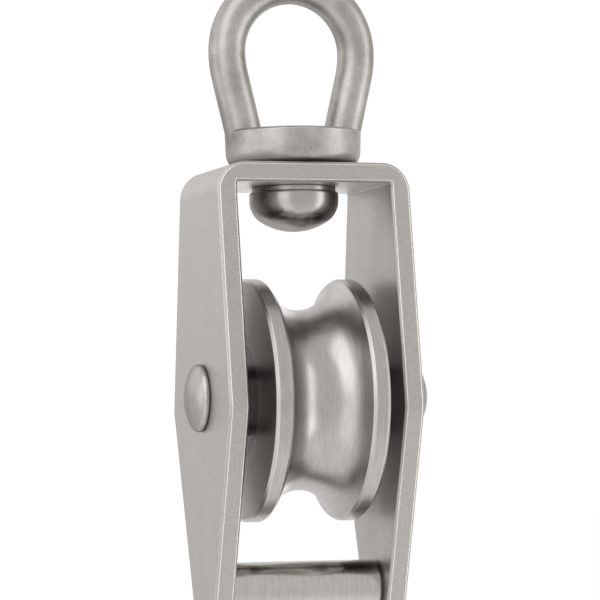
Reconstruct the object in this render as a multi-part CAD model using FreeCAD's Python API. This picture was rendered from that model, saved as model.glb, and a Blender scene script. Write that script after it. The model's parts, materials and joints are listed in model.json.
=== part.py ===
"""Swivel-eye mooring block: one grooved sheave between the cheeks of a bent strip frame.

Sizes are in millimetres. X runs along the sheave's axle, Y from the block's front to its back, and Z up.
The origin is the point where the block hangs, the crown of the opening in the eye, on the swivel's axis.
"""

import FreeCAD, Part
import math
import os

V = FreeCAD.Vector
X_AXIS = V(1, 0, 0)
Y_AXIS = V(0, 1, 0)
Z_AXIS = V(0, 0, 1)
DIAGONAL = math.sqrt(0.5)      # where the middle of a quarter circle lies, as a share of its radius

# Swivel eye: a loop of round bar forged on a collar
bar_diameter = 4.85
crown_radius = 6.45            # inside of the loop, at its top
leg_bend_radius = 14.0         # where each leg starts to lean inwards, on the bar's centre line
leg_lean = 13.2                # degrees from upright
eye_opening_height = 16.9      # from the crown down to the collar
leg_root_depth = 2.6           # how far the legs run down into the collar
collar_diameter = 17.9         # at its top
collar_height = 4.6
collar_draft = 0.1             # how much smaller its radius is where the round below it begins
collar_round_radius = 2.4      # the turned-under lower edge
collar_round_height = 1.85
collar_top_bevel = 0.3

# Swivel rivet: holds the eye to the frame, and turns with it
swivel_pin_diameter = 6.0
swivel_shoulder_diameter = 11.0
swivel_shoulder_height = 0.55  # the low ring on the head that bears on the plate
swivel_head_diameter = 11.7
swivel_head_edge_round = 0.35  # of the edge next to the shoulder
swivel_head_skirt = 1.1        # straight side, with the rounded edge
swivel_head_dome = 4.05
swivel_head_side_radius = 3.3
peened_crown_diameter = 7.6    # the rivet's other end, spread on top of the collar
peened_crown_height = 0.6
peened_crown_side_radius = 0.4

# Frame: one strip bent to a U
strip_thickness = 2.6
inner_bend_radius = 0.15
outer_bend_radius = 3.8
cheek_gap = 20.8               # between the inner faces of the cheeks
plate_depth = 18.2             # front to back, at the top plate and the bends
widest_depth = 26.6            # front to back, at the widest part of a cheek
widest_below_axle = 1.6
corner_round = 3.0             # where the cheek's outline changes direction
cheek_end_radius = 5.3         # the rounded lower end, about the becket bar
edge_bevel = 0.3               # all round the strip's outline
plate_to_axle = 27.5           # underside of the top plate to the axle's centre
axle_to_becket = 24.9

# Sheave
sheave_diameter = 31.6
sheave_width = 15.2
groove_root_diameter = 23.5
groove_radius = 5.6            # of the groove's round section
rim_bevel = 0.35
lip_bevel = 0.3
recess_diameter = 15.3         # the shallow turned recess round the hub, on each side
recess_depth = 0.4
hub_diameter = 9.2             # reaches to the cheeks
hub_bevel = 0.3

# Axle rivet
axle_diameter = 6.0
head_edge_round = 0.3          # of both heads, next to the cheeks
low_head_diameter = 8.8
low_head_skirt = 0.3
low_head_dome = 1.75
low_head_side_radius = 0.8
high_head_diameter = 9.6
high_head_skirt = 1.8
high_head_dome = 2.9
high_head_side_radius = 2.1

# Becket bar
becket_diameter = 7.2
becket_end_bevel = 0.4
tenon_diameter = 4.6

# Fits
swivel_play = 0.1              # along the swivel's axis, above the plate and below it
running_clearance = 0.05       # round a turning pin
sheave_bore_play = 0.4         # round the axle, on the radius: the sheave hangs loosely on it
press_interference = 0.01      # round a pressed or riveted pin
hub_side_play = 0.2            # between each end of the hub and its cheek
same_place = 0.01              # how near two heights or widths are that count as the same

# Heights, from the crown of the eye down
collar_top = -eye_opening_height
collar_bottom = collar_top - collar_height
plate_top = collar_bottom - swivel_play
plate_underside = plate_top - strip_thickness
swivel_head_top = plate_underside - swivel_play - swivel_shoulder_height
axle_height = plate_underside - plate_to_axle
sheave_height = axle_height - sheave_bore_play + running_clearance
becket_height = axle_height - axle_to_becket

cheek_inside = cheek_gap / 2
cheek_outside = cheek_inside + strip_thickness


def line(a, b):
    return Part.LineSegment(a, b).toShape()


def arc(a, middle, b):
    return Part.Arc(a, middle, b).toShape()


def face_of(edges):
    return Part.Face(Part.Wire(edges))


def place_on_x(solid, x, z, side):
    """Turns a solid made about +Z so that its +Z points to the left (side -1) or right (side 1)."""
    placed = solid.copy()
    placed.rotate(V(0, 0, 0), Y_AXIS, 90 * side)
    placed.translate(V(x, 0, z))
    return placed


def cylinder_along_x(diameter, x_from, x_to, z):
    return Part.makeCylinder(diameter / 2, x_to - x_from, V(x_from, 0, z), X_AXIS)


def arch_profile(half_width, base, depth, side_radius):
    """Edges of a three-centred arch, from (half_width, base) to (0, base + depth), as radius and height."""
    reach = half_width - side_radius
    top_radius = (reach ** 2 + depth ** 2 - side_radius ** 2) / (2 * (depth - side_radius))
    top_centre = depth - top_radius
    spread = math.atan2(reach, -top_centre)
    meet = V(top_radius * math.sin(spread), 0, base + top_centre + top_radius * math.cos(spread))
    side_turn = (math.pi / 2 - spread) / 2
    side_middle = V(
        reach + side_radius * math.cos(side_turn), 0, base + side_radius * math.sin(side_turn)
    )
    top_middle = V(
        top_radius * math.sin(spread / 2),
        0,
        base + top_centre + top_radius * math.cos(spread / 2),
    )
    start = V(half_width, 0, base)
    end = V(0, 0, base + depth)
    return [arc(start, side_middle, meet), arc(meet, top_middle, end)]


def domed_head(diameter, skirt, dome, side_radius, edge_round=0):
    """A rivet head on the plane z = 0: a straight skirt, its lower edge sharp or rounded, and a dome."""
    half_width = diameter / 2
    contact = half_width - edge_round
    edges = [line(V(0, 0, 0), V(contact, 0, 0))]
    if edge_round:
        middle = V(contact + edge_round * DIAGONAL, 0, edge_round * (1 - DIAGONAL))
        edges.append(arc(V(contact, 0, 0), middle, V(half_width, 0, edge_round)))
    if skirt > edge_round:
        edges.append(line(V(half_width, 0, edge_round), V(half_width, 0, skirt)))
    edges += arch_profile(half_width, skirt, dome, side_radius)
    edges.append(line(V(0, 0, skirt + dome), V(0, 0, 0)))
    return face_of(edges).revolve(V(0, 0, 0), Z_AXIS, 360)


def loop_path():
    """Centre line of the eye's bar: up the left leg, over the crown and down the right leg."""
    centre_radius = crown_radius + bar_diameter / 2
    lean = math.radians(leg_lean)
    crown_centre = -crown_radius
    bend_drop = leg_bend_radius * math.sin(lean)
    bend_reach = centre_radius - leg_bend_radius * (1 - math.cos(lean))
    foot = collar_top - leg_root_depth
    foot_reach = bend_reach - (crown_centre - bend_drop - foot) * math.tan(lean)
    half_turn_drop = leg_bend_radius * math.sin(lean / 2)
    half_turn_reach = centre_radius - leg_bend_radius * (1 - math.cos(lean / 2))

    def leg(side):
        widest = V(side * centre_radius, 0, crown_centre)
        middle = V(side * half_turn_reach, 0, crown_centre - half_turn_drop)
        bend_end = V(side * bend_reach, 0, crown_centre - bend_drop)
        return widest, middle, bend_end, V(side * foot_reach, 0, foot)

    left, left_middle, left_bend, left_foot = leg(-1)
    right, right_middle, right_bend, right_foot = leg(1)
    crown = V(0, 0, crown_centre + centre_radius)
    return Part.Wire(
        [
            line(left_foot, left_bend),
            arc(left_bend, left_middle, left),
            arc(left, crown, right),
            arc(right, right_middle, right_bend),
            line(right_bend, right_foot),
        ]
    )


def make_collar():
    """Turned by its side's profile: a flat base, a turned-under edge, a nearly straight side and a bevel."""
    top_radius = collar_diameter / 2
    round_top = V(top_radius - collar_draft, 0, collar_bottom + collar_round_height)
    centre = round_top - V(collar_round_radius, 0, 0)
    turn = math.asin(collar_round_height / collar_round_radius)

    def on_round(angle):
        return centre + V(collar_round_radius * math.cos(angle), 0, -collar_round_radius * math.sin(angle))

    base = on_round(turn)
    side_top = V(top_radius, 0, collar_top - collar_top_bevel)
    bevel_top = V(top_radius - collar_top_bevel, 0, collar_top)
    profile = [
        line(V(0, 0, collar_bottom), base),
        arc(base, on_round(turn / 2), round_top),
        line(round_top, side_top),
        line(side_top, bevel_top),
        line(bevel_top, V(0, 0, collar_top)),
        line(V(0, 0, collar_top), V(0, 0, collar_bottom)),
    ]
    return face_of(profile).revolve(V(0, 0, 0), Z_AXIS, 360)


def make_swivel_eye():
    path = loop_path()
    foot_edge = path.Edges[0]
    start = foot_edge.valueAt(foot_edge.FirstParameter)
    direction = foot_edge.tangentAt(foot_edge.FirstParameter)
    section = Part.Wire([Part.makeCircle(bar_diameter / 2, start, direction)])
    loop = path.makePipeShell([section], True, True)
    eye = make_collar().fuse(loop).removeSplitter()
    hole = Part.makeCylinder(
        swivel_pin_diameter / 2, collar_height * 2, V(0, 0, collar_bottom - collar_height / 2), Z_AXIS
    )
    return eye.cut(hole)


def make_swivel_rivet():
    pin_radius = swivel_pin_diameter / 2 + press_interference
    pin = Part.makeCylinder(pin_radius, collar_top - swivel_head_top, V(0, 0, swivel_head_top), Z_AXIS)
    head = domed_head(
        swivel_head_diameter,
        swivel_head_skirt,
        swivel_head_dome,
        swivel_head_side_radius,
        swivel_head_edge_round,
    )
    head.rotate(V(0, 0, 0), X_AXIS, 180)
    head.translate(V(0, 0, swivel_head_top))
    shoulder = Part.makeCylinder(
        swivel_shoulder_diameter / 2, swivel_shoulder_height, V(0, 0, swivel_head_top), Z_AXIS
    )
    crown = domed_head(peened_crown_diameter, 0, peened_crown_height, peened_crown_side_radius)
    crown.translate(V(0, 0, collar_top))
    return pin.fuse([head, shoulder, crown]).removeSplitter()


def strip_profile():
    """The U of the bent strip, seen from the front."""
    bottom = becket_height - cheek_end_radius

    def bend(side, radius, corner_x, corner_z):
        centre = V(side * (corner_x - radius), 0, corner_z - radius)
        low = centre + V(side * radius, 0, 0)
        middle = centre + V(side * radius * DIAGONAL, 0, radius * DIAGONAL)
        high = centre + V(0, 0, radius)
        return low, middle, high

    outer_left = bend(-1, outer_bend_radius, cheek_outside, plate_top)
    outer_right = bend(1, outer_bend_radius, cheek_outside, plate_top)
    inner_left = bend(-1, inner_bend_radius, cheek_inside, plate_underside)
    inner_right = bend(1, inner_bend_radius, cheek_inside, plate_underside)
    foot = [V(x, 0, bottom) for x in (-cheek_outside, -cheek_inside, cheek_inside, cheek_outside)]
    return face_of(
        [
            line(foot[0], outer_left[0]),
            arc(*outer_left),
            line(outer_left[2], outer_right[2]),
            arc(*reversed(outer_right)),
            line(outer_right[0], foot[3]),
            line(foot[3], foot[2]),
            line(foot[2], inner_right[0]),
            arc(*inner_right),
            line(inner_right[2], inner_left[2]),
            arc(*reversed(inner_left)),
            line(inner_left[0], foot[1]),
            line(foot[1], foot[0]),
        ]
    )


def cheek_outline():
    """The cheek from the side: straight plate sides, a taper out to the widest corner and a rounded end."""
    plate_half = plate_depth / 2
    wide_half = widest_depth / 2
    bend_line = plate_top - outer_bend_radius
    wide_height = axle_height - widest_below_axle
    drop = wide_height - becket_height
    reach = math.hypot(wide_half, drop)
    turn = math.atan2(wide_half, drop) - math.asin(cheek_end_radius / reach)
    touch_y = cheek_end_radius * math.cos(turn)
    touch_z = becket_height - cheek_end_radius * math.sin(turn)
    front_touch = V(0, -touch_y, touch_z)
    back_touch = V(0, touch_y, touch_z)
    return face_of(
        [
            line(V(0, -plate_half, plate_top), V(0, plate_half, plate_top)),
            line(V(0, plate_half, plate_top), V(0, plate_half, bend_line)),
            line(V(0, plate_half, bend_line), V(0, wide_half, wide_height)),
            line(V(0, wide_half, wide_height), back_touch),
            arc(back_touch, V(0, 0, becket_height - cheek_end_radius), front_touch),
            line(front_touch, V(0, -wide_half, wide_height)),
            line(V(0, -wide_half, wide_height), V(0, -plate_half, bend_line)),
            line(V(0, -plate_half, bend_line), V(0, -plate_half, plate_top)),
        ]
    )


def edges_across(blank, half_depth, height):
    """The front and back edges that run along X at one height."""
    found = []
    for edge in blank.Edges:
        centre = edge.CenterOfMass
        if abs(abs(centre.y) - half_depth) < same_place and abs(centre.z - height) < same_place:
            found.append(edge)
    return found


def outline_edges(strip):
    """Edges of the strip's cut outline, leaving out the short ones that cross its thickness."""
    found = []
    for edge in strip.Edges:
        start = edge.valueAt(edge.FirstParameter)
        end = edge.valueAt(edge.LastParameter)
        along_y = abs(end.y - start.y)
        crosses = abs(abs(end.x - start.x) - strip_thickness) < same_place and along_y < same_place
        across_bend = along_y > plate_depth - same_place
        if not crosses and not across_bend:
            found.append(edge)
    return found


def make_frame():
    profile = strip_profile()
    profile.translate(V(0, -widest_depth, 0))
    bent_strip = profile.extrude(V(0, 2 * widest_depth, 0))
    outline = cheek_outline()
    outline.translate(V(-2 * cheek_outside, 0, 0))
    blank = outline.extrude(V(4 * cheek_outside, 0, 0))
    corners = edges_across(blank, widest_depth / 2, axle_height - widest_below_axle)
    corners += edges_across(blank, plate_depth / 2, plate_top - outer_bend_radius)
    blank = blank.makeFillet(corner_round, corners)
    strip = bent_strip.common(blank).removeSplitter()
    strip = strip.makeChamfer(edge_bevel, outline_edges(strip))
    swivel_hole = Part.makeCylinder(
        swivel_pin_diameter / 2 + press_interference + running_clearance,
        strip_thickness * 2,
        V(0, 0, plate_underside - strip_thickness / 2),
        Z_AXIS,
    )
    axle_hole = cylinder_along_x(axle_diameter, -2 * cheek_outside, 2 * cheek_outside, axle_height)
    becket_hole = cylinder_along_x(tenon_diameter, -2 * cheek_outside, 2 * cheek_outside, becket_height)
    return strip.cut([swivel_hole, axle_hole, becket_hole])


def make_sheave():
    """Turned in one piece: two flanges beside a deep groove, recessed round the hub that spans the cheeks."""
    rim = sheave_diameter / 2
    face = sheave_width / 2
    recess = recess_diameter / 2
    recess_floor = face - recess_depth
    hub = hub_diameter / 2
    hub_end = cheek_inside - hub_side_play
    bore = axle_diameter / 2 + press_interference + sheave_bore_play
    root = groove_root_diameter / 2
    groove_centre = root + groove_radius

    def groove_reach(radius):
        return math.sqrt(groove_radius ** 2 - (groove_centre - radius) ** 2)

    mouth = groove_reach(rim)
    lip = rim - lip_bevel

    def half(side):
        return [
            V(side * hub_end, 0, bore),
            V(side * hub_end, 0, hub - hub_bevel),
            V(side * (hub_end - hub_bevel), 0, hub),
            V(side * recess_floor, 0, hub),
            V(side * recess_floor, 0, recess),
            V(side * face, 0, recess),
            V(side * face, 0, rim - rim_bevel),
            V(side * (face - rim_bevel), 0, rim),
            V(side * (mouth + lip_bevel), 0, rim),
            V(side * groove_reach(lip), 0, lip),
        ]

    left = half(-1)
    right = half(1)
    edges = [line(a, b) for a, b in zip(left, left[1:])]
    edges.append(arc(left[-1], V(0, 0, root), right[-1]))
    edges += [line(b, a) for a, b in zip(right, right[1:])]
    edges.append(line(right[0], left[0]))
    sheave = face_of(Part.sortEdges(edges)[0]).revolve(V(0, 0, 0), X_AXIS, 360)
    sheave.translate(V(0, 0, sheave_height))
    return sheave


def make_axle_rivet():
    pin = cylinder_along_x(
        axle_diameter + 2 * press_interference, -cheek_outside, cheek_outside, axle_height
    )
    low_head = domed_head(
        low_head_diameter, low_head_skirt, low_head_dome, low_head_side_radius, head_edge_round
    )
    high_head = domed_head(
        high_head_diameter, high_head_skirt, high_head_dome, high_head_side_radius, head_edge_round
    )
    left = place_on_x(low_head, -cheek_outside, axle_height, -1)
    right = place_on_x(high_head, cheek_outside, axle_height, 1)
    return pin.fuse([left, right]).removeSplitter()


def make_becket_bar():
    bar = cylinder_along_x(becket_diameter, -cheek_inside, cheek_inside, becket_height)
    bar = bar.makeChamfer(becket_end_bevel, [e for e in bar.Edges if e.Closed])
    tenons = cylinder_along_x(
        tenon_diameter + 2 * press_interference, -cheek_outside, cheek_outside, becket_height
    )
    return bar.fuse(tenons).removeSplitter()


nodes = {
    "swivel_eye": make_swivel_eye(),
    "swivel_rivet": make_swivel_rivet(),
    "frame": make_frame(),
    "sheave": make_sheave(),
    "axle_rivet": make_axle_rivet(),
    "becket_bar": make_becket_bar(),
}

os.makedirs("parts", exist_ok=True)
for name, shape in nodes.items():
    shape.exportStep("parts/" + name + ".step")
    box = shape.BoundBox
    print(
        name,
        "solids", len(shape.Solids),
        "valid", shape.isValid(),
        "volume", round(shape.Volume, 1),
        "x", round(box.XMin, 2), round(box.XMax, 2),
        "z", round(box.ZMin, 2), round(box.ZMax, 2),
    )
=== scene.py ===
import json
import math

import bpy
from mathutils import Matrix, Vector


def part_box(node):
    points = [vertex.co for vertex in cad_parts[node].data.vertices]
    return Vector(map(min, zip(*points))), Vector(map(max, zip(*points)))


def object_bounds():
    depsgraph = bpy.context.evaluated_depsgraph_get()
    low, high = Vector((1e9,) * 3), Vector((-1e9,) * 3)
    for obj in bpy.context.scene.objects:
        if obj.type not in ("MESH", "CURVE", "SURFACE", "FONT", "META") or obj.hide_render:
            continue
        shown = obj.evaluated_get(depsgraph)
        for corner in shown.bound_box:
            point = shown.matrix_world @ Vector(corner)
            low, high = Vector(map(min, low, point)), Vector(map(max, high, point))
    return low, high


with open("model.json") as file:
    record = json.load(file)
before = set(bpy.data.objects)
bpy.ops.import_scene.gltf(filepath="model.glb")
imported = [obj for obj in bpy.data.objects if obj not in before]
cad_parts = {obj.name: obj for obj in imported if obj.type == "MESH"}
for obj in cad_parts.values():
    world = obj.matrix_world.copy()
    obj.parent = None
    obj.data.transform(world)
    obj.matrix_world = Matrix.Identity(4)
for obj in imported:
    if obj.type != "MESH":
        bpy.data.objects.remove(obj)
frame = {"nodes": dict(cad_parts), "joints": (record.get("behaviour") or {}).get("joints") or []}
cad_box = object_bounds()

nodes = frame["nodes"]

# Frame: one strip of stainless steel, blanked, bent to a U and tumbled to a fine, even matt satin.
# Bright lines are painted along its edges on the front and back as a painted highlight, and the plate's top
# and underside are painted lighter as painted light, the underside most; the eye and its rivet turn on these
# two faces.
# It keeps its CAD shape, as all six pieces do, and gets its finish here.
STEEL_COLOUR = (0.362, 0.343, 0.326)
# The plate's level faces are painted lighter with this colour, as painted light.
PLATE_PAINTED_LIGHT_COLOUR = (0.660, 0.630, 0.603, 1)
# Edges are painted bright with this colour, as a painted highlight.
EDGE_HIGHLIGHT_COLOUR = (0.930, 0.895, 0.865, 1)
EDGE_ROUGHNESS = 0.22
EDGE_BEGINS, EDGE_FULL = 0.998, 0.97    # how well the rounded normal agrees with the face's own
ROUNDING_SAMPLES = 6
NOISE_LOW, NOISE_HIGH = 0.3, 0.7
NOISE_ROUGHNESS = 0.55
SOFT_DETAIL, FINE_DETAIL = 3.0, 2.0
GRAIN_PER_METRE = 6500.0
GRAIN_TINT = 0.17
GRAIN_HEIGHT = 0.0000012
CLOUDS_PER_METRE = (180.0, 180.0, 90.0)
STRIP_ROUGHNESS = 0.38, 0.46
STRIP_EDGE = 0.00012
LEVEL_FROM = 0.9                        # a face is level when its normal is this upright
PLATE_DEPTH = 0.010                     # level faces this near the top are the plate's
TOP_PAINTED_LIGHT, UNDERSIDE_PAINTED_LIGHT = 0.5, 1.0   # painted light on the plate's faces: 0 is as tumbled and 1 is fully painted lighter
TENON_SURROUND = 0.003                  # no painted edge highlight this near the becket bar's axis
plate_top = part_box("frame")[1].z
becket_height = sum(corner.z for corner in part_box("becket_bar")) / 2


def new_material(name):
    material = bpy.data.materials.new(name)
    material.use_nodes = True
    tree = material.node_tree
    tree.nodes.clear()
    output = tree.nodes.new("ShaderNodeOutputMaterial")
    shader = tree.nodes.new("ShaderNodeBsdfPrincipled")
    shader.inputs["Metallic"].default_value = 1.0
    tree.links.new(shader.outputs["BSDF"], output.inputs["Surface"])
    return material, tree, shader


def object_point(tree):
    return tree.nodes.new("ShaderNodeTexCoord").outputs["Object"]


def face_normal(tree):
    return tree.nodes.new("ShaderNodeNewGeometry").outputs["Normal"]


def noise(tree, point, per_metre, detail=SOFT_DETAIL):
    """Noise with so many spots to the metre: one number for all three axes, or one for each."""
    stretch = tree.nodes.new("ShaderNodeVectorMath")
    stretch.operation = "MULTIPLY"
    stretch.inputs[1].default_value = per_metre if isinstance(per_metre, tuple) else (per_metre,) * 3
    tree.links.new(point, stretch.inputs[0])
    texture = tree.nodes.new("ShaderNodeTexNoise")
    texture.inputs["Scale"].default_value = 1.0
    texture.inputs["Detail"].default_value = detail
    texture.inputs["Roughness"].default_value = NOISE_ROUGHNESS
    tree.links.new(stretch.outputs["Vector"], texture.inputs["Vector"])
    return texture.outputs["Fac"]


def tumbled_grain(tree, point):
    """The fine grain that tumbling with small stones leaves in the steel."""
    return noise(tree, point, GRAIN_PER_METRE, FINE_DETAIL)


def calculated(tree, operation, a, b=None):
    """The result of one calculation; each of its values is a socket or a number."""
    node = tree.nodes.new("ShaderNodeMath")
    node.operation = operation
    for socket, value in zip(node.inputs, (a, b)):
        if isinstance(value, (int, float)):
            socket.default_value = value
        elif value is not None:
            tree.links.new(value, socket)
    return node.outputs[0]


def part_of(tree, vector, axis):
    split = tree.nodes.new("ShaderNodeSeparateXYZ")
    tree.links.new(vector, split.inputs["Vector"])
    return split.outputs[axis]


def distance(tree, a, b):
    """How far a point lies from an axis, from its two offsets square to it."""
    squares = [calculated(tree, "MULTIPLY", side, side) for side in (a, b)]
    return calculated(tree, "SQRT", calculated(tree, "ADD", *squares))


def ranged(tree, value, low, high, start=NOISE_LOW, end=NOISE_HIGH):
    """A value spread from low at its start to high at its end, which are a noise's unless given."""
    spread = tree.nodes.new("ShaderNodeMapRange")
    spread.inputs["From Min"].default_value = start
    spread.inputs["From Max"].default_value = end
    spread.inputs["To Min"].default_value = low
    spread.inputs["To Max"].default_value = high
    tree.links.new(value, spread.inputs["Value"])
    return spread.outputs["Result"]


def tinted(tree, value, colour, depth):
    """The steel's colour, darker and lighter by depth as the noise value goes down and up."""
    ramp = tree.nodes.new("ShaderNodeValToRGB")
    stops = (NOISE_LOW, 1 - depth), (NOISE_HIGH, 1 + depth)
    for element, (position, shade) in zip(ramp.color_ramp.elements, stops):
        element.position = position
        element.color = [c * shade for c in colour] + [1]
    tree.links.new(value, ramp.inputs["Fac"])
    return ramp.outputs["Color"]


def mixed(tree, kind, factor, a, b):
    """Value or colour a where the factor is 0 and b where it is 1; each is a socket or a constant."""
    mix = tree.nodes.new("ShaderNodeMix")
    mix.data_type = kind
    tree.links.new(factor, mix.inputs["Factor"])
    for name, value in (("A", a), ("B", b)):
        socket = next(socket for socket in mix.inputs if socket.name == name and socket.enabled)
        if isinstance(value, (int, float, tuple)):
            socket.default_value = value
        else:
            tree.links.new(value, socket)
    return next(socket for socket in mix.outputs if socket.enabled)


def finished(tree, shader, colour, roughness, relief, relief_height, edge_width, highlight_strength):
    """Colour, gloss and fine relief of a piece whose edges are rounded, with a painted highlight along the
    edges.
    """
    rounding = tree.nodes.new("ShaderNodeBevel")
    rounding.samples = ROUNDING_SAMPLES
    rounding.inputs["Radius"].default_value = edge_width
    bump = tree.nodes.new("ShaderNodeBump")
    bump.inputs["Strength"].default_value = 1.0
    bump.inputs["Distance"].default_value = relief_height
    tree.links.new(rounding.outputs["Normal"], bump.inputs["Normal"])
    tree.links.new(relief, bump.inputs["Height"])
    tree.links.new(bump.outputs["Normal"], shader.inputs["Normal"])
    agreeing = tree.nodes.new("ShaderNodeVectorMath")
    agreeing.operation = "DOT_PRODUCT"
    tree.links.new(rounding.outputs["Normal"], agreeing.inputs[0])
    tree.links.new(face_normal(tree), agreeing.inputs[1])
    rounded = ranged(tree, agreeing.outputs["Value"], 0.0, 1.0, EDGE_BEGINS, EDGE_FULL)
    # The edges are painted bright here, as a painted highlight.
    edge_highlight = calculated(tree, "MULTIPLY", rounded, highlight_strength)
    tree.links.new(mixed(tree, "RGBA", edge_highlight, colour, EDGE_HIGHLIGHT_COLOUR), shader.inputs["Base Color"])
    tree.links.new(mixed(tree, "FLOAT", edge_highlight, roughness, EDGE_ROUGHNESS), shader.inputs["Roughness"])


def dress(node, material):
    for slot in nodes[node].material_slots:
        slot.material = material


strip_steel, tree, shader = new_material("tumbled_strip_steel")
point = object_point(tree)
height = part_of(tree, point, "Z")
grain = tumbled_grain(tree, point)
clouds = noise(tree, point, CLOUDS_PER_METRE)
upward = part_of(tree, face_normal(tree), "Z")
level = calculated(tree, "GREATER_THAN", calculated(tree, "ABSOLUTE", upward), LEVEL_FROM)
near_top = calculated(tree, "GREATER_THAN", height, plate_top - PLATE_DEPTH)
on_plate = calculated(tree, "MULTIPLY", level, near_top)
# The plate's level faces are painted lighter here, as painted light, the underside most.
plate_painted_light = calculated(tree, "MULTIPLY", on_plate, ranged(tree, upward, UNDERSIDE_PAINTED_LIGHT, TOP_PAINTED_LIGHT, -1.0, 1.0))
# Only the edges of faces turned to the front or back get the painted highlight.
to_front = calculated(tree, "ABSOLUTE", part_of(tree, face_normal(tree), "Y"))
above_becket = calculated(tree, "SUBTRACT", height, becket_height)
from_becket = distance(tree, part_of(tree, point, "Y"), above_becket)
off_tenon = calculated(tree, "GREATER_THAN", from_becket, TENON_SURROUND)
finished(
    tree,
    shader,
    colour=mixed(tree, "RGBA", plate_painted_light, tinted(tree, grain, STEEL_COLOUR, GRAIN_TINT), PLATE_PAINTED_LIGHT_COLOUR),
    roughness=ranged(tree, clouds, *STRIP_ROUGHNESS),
    relief=grain,
    relief_height=GRAIN_HEIGHT,
    edge_width=STRIP_EDGE,
    highlight_strength=calculated(tree, "MULTIPLY", to_front, off_tenon),
)
dress("frame", strip_steel)

# Swivel eye: round bar forged to a loop on a thick collar, then polished all over by hand to a soft satin.
# Uneven patches of the forging still show in it, and the collar's lower edge, where it sits on the plate, is
# painted dark as painted shade.
EYE_COLOUR = (0.324, 0.307, 0.292)
EYE_TINT = 0.36
EYE_ROUGHNESS = 0.37, 0.43
EYE_PATCHES_PER_METRE = 260.0
EYE_PATCH_HEIGHT = 0.00004
PATCH_SHARE, GRAIN_SHARE = 0.6, 0.4
SMALL_PIECE_EDGE = 0.00008
# How strongly the edges get the painted highlight.
POLISHED_EDGE_HIGHLIGHT = 0.4
POLISHED_GLANCING_TINT = (0.65, 0.65, 0.65, 1)    # how strongly it shines at a glancing angle
# Painted shade along the collar's lowest edge, where it sits on the plate.
GAP_PAINTED_SHADE_COLOUR = (0.090, 0.086, 0.082, 1)
GAP_SHADE_ENDS, GAP_SHADE_FULL = 0.0006, 0.0003    # heights above the collar's lower face
collar_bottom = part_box("swivel_eye")[0].z
eye_steel, tree, shader = new_material("polished_forged_steel")
shader.inputs["Specular Tint"].default_value = POLISHED_GLANCING_TINT
point = object_point(tree)
above_bottom = calculated(tree, "SUBTRACT", part_of(tree, point, "Z"), collar_bottom)
# The painted shade fades out upward from the collar's lower face.
gap_painted_shade = ranged(tree, above_bottom, 0.0, 1.0, GAP_SHADE_ENDS, GAP_SHADE_FULL)
patches = noise(tree, point, EYE_PATCHES_PER_METRE)
uneven = calculated(
    tree,
    "ADD",
    calculated(tree, "MULTIPLY", patches, PATCH_SHARE),
    calculated(tree, "MULTIPLY", tumbled_grain(tree, point), GRAIN_SHARE),
)
finished(
    tree,
    shader,
    colour=mixed(tree, "RGBA", gap_painted_shade, tinted(tree, uneven, EYE_COLOUR, EYE_TINT), GAP_PAINTED_SHADE_COLOUR),
    roughness=ranged(tree, patches, *EYE_ROUGHNESS),
    relief=patches,
    relief_height=EYE_PATCH_HEIGHT,
    edge_width=SMALL_PIECE_EDGE,
    highlight_strength=POLISHED_EDGE_HIGHLIGHT,
)
dress("swivel_eye", eye_steel)

# Swivel rivet: a mushroom-headed pin turned from bar, put up through frame and collar and peened over.
# Its head under the plate is polished like the eye, and more brightly.
RIVET_COLOUR = (0.345, 0.327, 0.311)
RIVET_TINT = 0.05
RIVET_ROUGHNESS = 0.25, 0.29
RIVET_PATCHES_PER_METRE = 380.0
RIVET_PATCH_HEIGHT = 0.00001
rivet_steel, tree, shader = new_material("polished_rivet_steel")
shader.inputs["Specular Tint"].default_value = POLISHED_GLANCING_TINT
patches = noise(tree, object_point(tree), RIVET_PATCHES_PER_METRE)
finished(
    tree,
    shader,
    colour=tinted(tree, patches, RIVET_COLOUR, RIVET_TINT),
    roughness=ranged(tree, patches, *RIVET_ROUGHNESS),
    relief=patches,
    relief_height=RIVET_PATCH_HEIGHT,
    edge_width=SMALL_PIECE_EDGE,
    highlight_strength=POLISHED_EDGE_HIGHLIGHT,
)
dress("swivel_rivet", rivet_steel)

# Sheave: turned from solid bar, so its fine tool marks run round it, and polished with a strip of cloth.
# The marks are fine streaks at constant radius, in the groove and on the flanges alike.
# The flanges' sides are painted lighter, and the recess and the hub on each side painted darker, as painted
# light and shade.
SHEAVE_COLOUR = (0.362, 0.343, 0.326)
SHEAVE_TINT = 0.10
SHEAVE_ROUGHNESS = 0.27, 0.33
SHEAVE_PATCHES_PER_METRE = 240.0
STREAKS = (6000.0, 6000.0, 6.0)    # to the metre along the axle and outward, and to the radian round it
STREAK_HEIGHT = 0.0000015
SIDE_FROM = 0.00715                # the flanges' sides and the recesses lie further out than this
RECESS_RADIUS = 0.00765
# Painted light on the flanges' sides, and painted shade in the recess and on the hub.
SIDE_PAINTED_LIGHT, RECESS_PAINTED_SHADE = 1.3, 0.60
RIM_FROM = 0.010                   # edges beyond this radius get the painted highlight
RIM_EDGE_HIGHLIGHT = 0.25
axle_height = next(joint for joint in frame["joints"] if joint["name"] == "sheave_spin")["pos_m"][2]
sheave_steel, tree, shader = new_material("turned_steel")
point = object_point(tree)
across = part_of(tree, point, "X")
forward = part_of(tree, point, "Y")
above_axle = calculated(tree, "SUBTRACT", part_of(tree, point, "Z"), axle_height)
radius = distance(tree, forward, above_axle)
ring = tree.nodes.new("ShaderNodeCombineXYZ")
tree.links.new(across, ring.inputs["X"])
tree.links.new(radius, ring.inputs["Y"])
tree.links.new(calculated(tree, "ARCTAN2", forward, above_axle), ring.inputs["Z"])
streaks = noise(tree, ring.outputs["Vector"], STREAKS, FINE_DETAIL)
patches = noise(tree, point, SHEAVE_PATCHES_PER_METRE)
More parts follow.
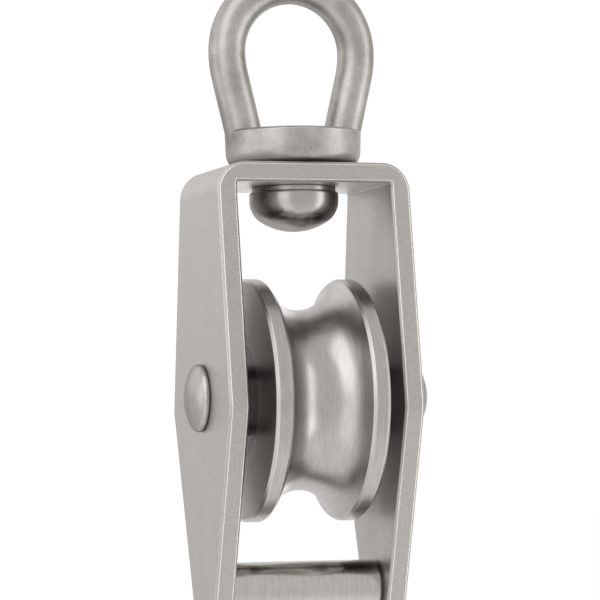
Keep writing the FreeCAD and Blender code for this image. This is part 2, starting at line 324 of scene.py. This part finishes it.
in_recess = calculated(tree, "LESS_THAN", radius, RECESS_RADIUS)
on_side = calculated(tree, "GREATER_THAN", calculated(tree, "ABSOLUTE", across), SIDE_FROM)
# The sides are painted lighter and the recess and hub darker here, as painted light and shade.
side_light_and_shade = mixed(tree, "FLOAT", in_recess, SIDE_PAINTED_LIGHT, RECESS_PAINTED_SHADE)
painted_light_and_shade = tree.nodes.new("ShaderNodeVectorMath")
painted_light_and_shade.operation = "SCALE"
tree.links.new(tinted(tree, streaks, SHEAVE_COLOUR, SHEAVE_TINT), painted_light_and_shade.inputs["Vector"])
tree.links.new(mixed(tree, "FLOAT", on_side, 1.0, side_light_and_shade), painted_light_and_shade.inputs["Scale"])
finished(
    tree,
    shader,
    colour=painted_light_and_shade.outputs["Vector"],
    roughness=ranged(tree, patches, *SHEAVE_ROUGHNESS),
    relief=streaks,
    relief_height=STREAK_HEIGHT,
    edge_width=SMALL_PIECE_EDGE,
    highlight_strength=calculated(tree, "MULTIPLY", calculated(tree, "GREATER_THAN", radius, RIM_FROM), RIM_EDGE_HIGHLIGHT),
)
dress("sheave", sheave_steel)

# Axle rivet: a pin through both cheeks, one end with a low head and the other riveted to a high round head.
# It is tumbled together with the frame, and its heads come out a little glossier than the strip.
HEAD_TINT = 0.24
HEAD_GLANCING_TINT = (0.5, 0.5, 0.5, 1)
HEAD_ROUGHNESS = 0.31, 0.37
HEAD_PATCHES_PER_METRE = 300.0
# How strongly the heads' edges get the painted highlight.
HEAD_EDGE_HIGHLIGHT = 0.3
axle_steel, tree, shader = new_material("tumbled_rivet_steel")
shader.inputs["Specular Tint"].default_value = HEAD_GLANCING_TINT
point = object_point(tree)
grain = tumbled_grain(tree, point)
patches = noise(tree, point, HEAD_PATCHES_PER_METRE)
finished(
    tree,
    shader,
    colour=tinted(tree, grain, STEEL_COLOUR, HEAD_TINT),
    roughness=ranged(tree, patches, *HEAD_ROUGHNESS),
    relief=grain,
    relief_height=GRAIN_HEIGHT,
    edge_width=SMALL_PIECE_EDGE,
    highlight_strength=HEAD_EDGE_HIGHLIGHT,
)
dress("axle_rivet", axle_steel)

# Becket bar: a length of round bar turned with a tenon at each end, which is riveted flush in its cheek.
# Fine polishing marks run round it. Its riveted ends are tumbled with the frame and look like it.
BAR_COLOUR = (0.420, 0.398, 0.378)
BAR_TINT = 0.08
BAR_ROUGHNESS = 0.17, 0.21
BAR_LINES = (5000.0, 400.0, 400.0)
BAR_LINE_HEIGHT = 0.0000006
TENON_END = 0.001    # the length of each tenon's riveted end
TENON_ROUGHNESS = 0.46
tenon_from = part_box("becket_bar")[1].x - TENON_END
bar_steel, tree, shader = new_material("turned_bar_steel")
point = object_point(tree)
lines = noise(tree, point, BAR_LINES, FINE_DETAIL)
from_middle = calculated(tree, "ABSOLUTE", part_of(tree, point, "X"))
on_tenon = calculated(tree, "GREATER_THAN", from_middle, tenon_from)
polished = tinted(tree, lines, BAR_COLOUR, BAR_TINT)
tumbled = tinted(tree, tumbled_grain(tree, point), STEEL_COLOUR, GRAIN_TINT)
finished(
    tree,
    shader,
    colour=mixed(tree, "RGBA", on_tenon, polished, tumbled),
    roughness=mixed(tree, "FLOAT", on_tenon, ranged(tree, lines, *BAR_ROUGHNESS), TENON_ROUGHNESS),
    relief=lines,
    relief_height=BAR_LINE_HEIGHT,
    edge_width=SMALL_PIECE_EDGE,
    highlight_strength=0.0,
)
dress("becket_bar", bar_steel)

# Floor: plain pale floor, well below the hanging block.
# It is matt, so that it mirrors nothing.
FLOOR_DROP = 0.50
FLOOR_HALF_SIZE = 30.0
FLOOR_COLOUR = (0.98, 0.98, 0.98, 1)
FLOOR_ROUGHNESS = 0.9
floor_height = cad_box[0].z - FLOOR_DROP
corner_signs = ((-1, -1), (1, -1), (1, 1), (-1, 1))
corners = [(x * FLOOR_HALF_SIZE, y * FLOOR_HALF_SIZE, floor_height) for x, y in corner_signs]
floor_mesh = bpy.data.meshes.new("floor")
floor_mesh.from_pydata(corners, [], [(0, 1, 2, 3)])
floor = bpy.data.objects.new("floor", floor_mesh)
bpy.context.collection.objects.link(floor)
floor_paint, tree, shader = new_material("pale_floor")
shader.inputs["Metallic"].default_value = 0.0
shader.inputs["Base Color"].default_value = FLOOR_COLOUR
shader.inputs["Roughness"].default_value = FLOOR_ROUGHNESS
shader.inputs["Specular IOR Level"].default_value = 0.0
floor_mesh.materials.append(floor_paint)

# Light: an even white room, and two tall soft boxes in front, the left one in an upper and a lower half.
# A strip light stands at the left, and two rim lights behind bring out the edges.
ROOM_COLOUR = (1, 1, 1, 1)
ROOM_STRENGTH = 1.03
LAMP_DISTANCE = 0.7
LAMPS_AIM = Vector((0, 0, -0.042))
world = bpy.data.worlds.new("white_room")
world.use_nodes = True
background = world.node_tree.nodes["Background"]
background.inputs["Color"].default_value = ROOM_COLOUR
background.inputs["Strength"].default_value = ROOM_STRENGTH
bpy.context.scene.world = world


def soft_box(name, azimuth, elevation, width, height, radiance):
    """A rectangular lamp that faces the block: azimuth 0 stands in front of it and 90 to its right."""
    around = math.radians(azimuth)
    above = math.radians(elevation)
    away = Vector((math.sin(around) * math.cos(above), -math.cos(around) * math.cos(above), math.sin(above)))
    light = bpy.data.lights.new(name, "AREA")
    light.shape = "RECTANGLE"
    light.size, light.size_y = width, height
    light.energy = radiance * math.pi * width * height
    lamp = bpy.data.objects.new(name, light)
    lamp.location = LAMPS_AIM + away * LAMP_DISTANCE
    lamp.rotation_mode = "QUATERNION"
    lamp.rotation_quaternion = away.to_track_quat("Z", "Y")
    bpy.context.collection.objects.link(lamp)


soft_box("left_soft_box", azimuth=-48, elevation=38, width=0.50, height=0.84, radiance=1.55)
soft_box("left_low_box", azimuth=-48, elevation=-18, width=0.50, height=0.68, radiance=0.68)
soft_box("left_strip_light", azimuth=-100, elevation=8, width=0.30, height=0.50, radiance=1.20)
soft_box("right_soft_box", azimuth=60, elevation=-2, width=0.32, height=0.88, radiance=1.75)
soft_box("left_rim_light", azimuth=-145, elevation=28, width=0.50, height=0.55, radiance=0.55)
soft_box("right_rim_light", azimuth=140, elevation=4, width=0.32, height=0.60, radiance=0.95)

# Camera: long lens, a little below the middle of the block and to its left, as the photograph was taken.
# It is tilted slightly to one side.
CAMERA_AZIMUTH = math.radians(-17.87)
CAMERA_ELEVATION = math.radians(-2.913)
CAMERA_ROLL = math.radians(-0.872)
CAMERA_AIM = Vector((0.00065, 0, -0.03894))
CAMERA_DISTANCE = 0.4286
CAMERA_LENS, CAMERA_SENSOR = 196.36, 36.0
CLIP_NEAR, CLIP_FAR = 0.01, 100
back = Vector(
    (
        math.sin(CAMERA_AZIMUTH) * math.cos(CAMERA_ELEVATION),
        -math.cos(CAMERA_AZIMUTH) * math.cos(CAMERA_ELEVATION),
        math.sin(CAMERA_ELEVATION),
    )
)
right = Vector((0, 0, 1)).cross(back).normalized()
up = back.cross(right)
tilted_right = right * math.cos(CAMERA_ROLL) + up * math.sin(CAMERA_ROLL)
tilted_up = back.cross(tilted_right)
tilted = Matrix((tilted_right, tilted_up, back)).transposed()
camera_data = bpy.data.cameras.new("camera")
camera_data.sensor_width = CAMERA_SENSOR
camera_data.lens = CAMERA_LENS
camera_data.clip_start, camera_data.clip_end = CLIP_NEAR, CLIP_FAR
camera = bpy.data.objects.new("camera", camera_data)
camera.matrix_world = Matrix.Translation(CAMERA_AIM + back * CAMERA_DISTANCE) @ tilted.to_4x4()
bpy.context.collection.objects.link(camera)
bpy.context.scene.camera = camera
bpy.context.scene.view_settings.view_transform = "Standard"
